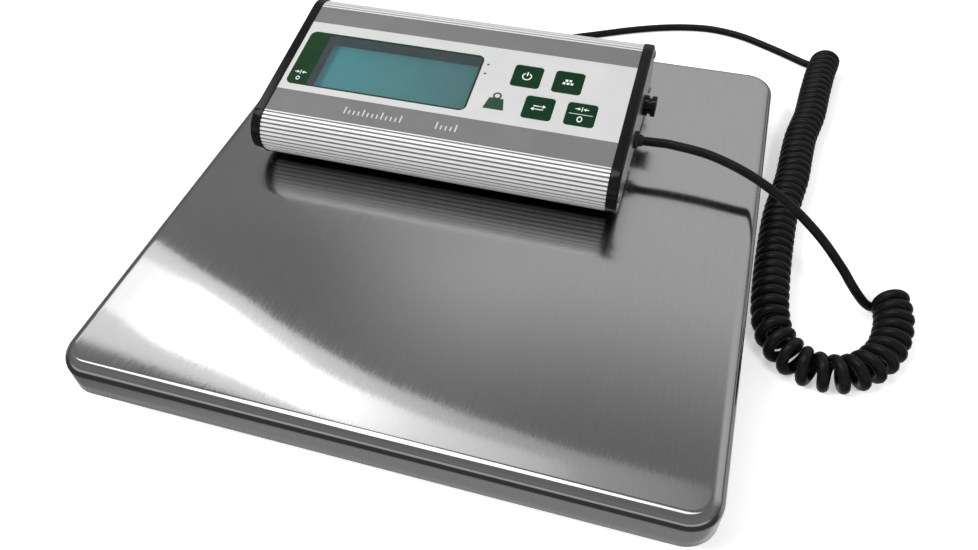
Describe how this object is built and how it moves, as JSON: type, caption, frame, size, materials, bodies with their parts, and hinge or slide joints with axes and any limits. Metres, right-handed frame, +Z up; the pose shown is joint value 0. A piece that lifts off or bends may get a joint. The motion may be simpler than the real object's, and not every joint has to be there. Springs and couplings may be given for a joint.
{
  "type": "bench scale",
  "caption": "Low square bench scale with a brushed stainless cover and a separate display unit in a ribbed aluminium case, joined by a long coiled cord.",
  "frame": {"origin": "on the floor under the middle of the platform, measured without the free cord", "axes": "+Z up, +Y from the front edge to the rear, +X to the right as a user faces the display"},
  "size_m": [0.396, 0.4248, 0.0874],
  "materials": {
    "stainless": "brushed front to back",
    "black_steel": "satin black paint",
    "spring_steel": "ground",
    "zinc_steel": "bright zinc",
    "black_abs": "fine texture",
    "black_rubber": "matte",
    "white_potting": "matte",
    "circuit_board": "solder mask",
    "case_aluminium": "satin anodised",
    "plate_aluminium": "satin",
    "panel_light": "printed film",
    "panel_grey": "printed film",
    "panel_green": "printed film",
    "clear_window": "clear film",
    "well_black": "dark foam",
    "lcd_teal": "reflective LCD",
    "key_green": "printed film",
    "bezel_black": "gloss",
    "cell_sleeve": "printed sleeve",
    "cord_jacket": "satin jacket"
  },
  "bodies": {
    "platform": {"platform_cover": "stainless", "cover_pads": "black_rubber", "load_frame": "black_steel", "stiffener_rails": "black_steel", "cell_holders": "black_abs", "load_cells": "spring_steel", "strain_gauges": "white_potting", "cell_clamps": "black_steel", "cell_screws": "zinc_steel", "foot_cups": "black_abs", "foot_pads": "black_rubber", "base_pan": "black_steel", "junction_box": "black_abs", "junction_lid": "black_abs", "junction_board": "circuit_board", "cell_leads": "cord_jacket", "rear_relief": "black_rubber", "cord_tail_front": "cord_jacket", "cord_coil": "cord_jacket", "cord_tail_rear": "cord_jacket"},
    "indicator": {"case_extrusion": "case_aluminium", "panel_overlay": "panel_light", "panel_stripes": "panel_grey", "display_border": "panel_green", "display_window": "clear_window", "display_well": "well_black", "lcd_module": "lcd_teal", "lcd_backlight": "white_potting", "main_board": "circuit_board", "board_posts": "zinc_steel", "key_switches": "black_abs", "bezel_left": "bezel_black", "bezel_right": "bezel_black", "end_plate_left": "plate_aluminium", "end_plate_right": "plate_aluminium", "end_screws": "zinc_steel", "jack_body": "black_abs", "jack_nut": "bezel_black", "cord_gland": "black_rubber", "battery_tray": "black_abs", "battery_cells": "cell_sleeve", "battery_contacts": "zinc_steel", "door_rails": "plate_aluminium", "case_feet": "black_rubber"},
    "battery_door": {"battery_door": "black_abs"},
    "key_power": {"key_power": "key_green"},
    "key_count": {"key_count": "key_green"},
    "key_mode": {"key_mode": "key_green"},
    "key_zero": {"key_zero": "key_green"}
  },
  "joints": [
    {"name": "indicator_lift", "type": "slide", "parent": "platform", "child": "indicator", "axis": [0, 0, 1], "range_m": [0, 0.06]},
    {"name": "battery_door_slide", "type": "slide", "parent": "indicator", "child": "battery_door", "axis": [0, 1, 0], "range_m": [0, 0.05]},
    {"name": "key_power_press", "type": "slide", "parent": "indicator", "child": "key_power", "axis": [0, 0.1754, -0.9845], "range_m": [0, 0.0004], "stiffness_N_per_m": 4000},
    {"name": "key_count_press", "type": "slide", "parent": "indicator", "child": "key_count", "axis": [0, 0.1754, -0.9845], "range_m": [0, 0.0004], "stiffness_N_per_m": 4000},
    {"name": "key_mode_press", "type": "slide", "parent": "indicator", "child": "key_mode", "axis": [0, 0.1754, -0.9845], "range_m": [0, 0.0004], "stiffness_N_per_m": 4000},
    {"name": "key_zero_press", "type": "slide", "parent": "indicator", "child": "key_zero", "axis": [0, 0.1754, -0.9845], "range_m": [0, 0.0004], "stiffness_N_per_m": 4000}
  ]
}
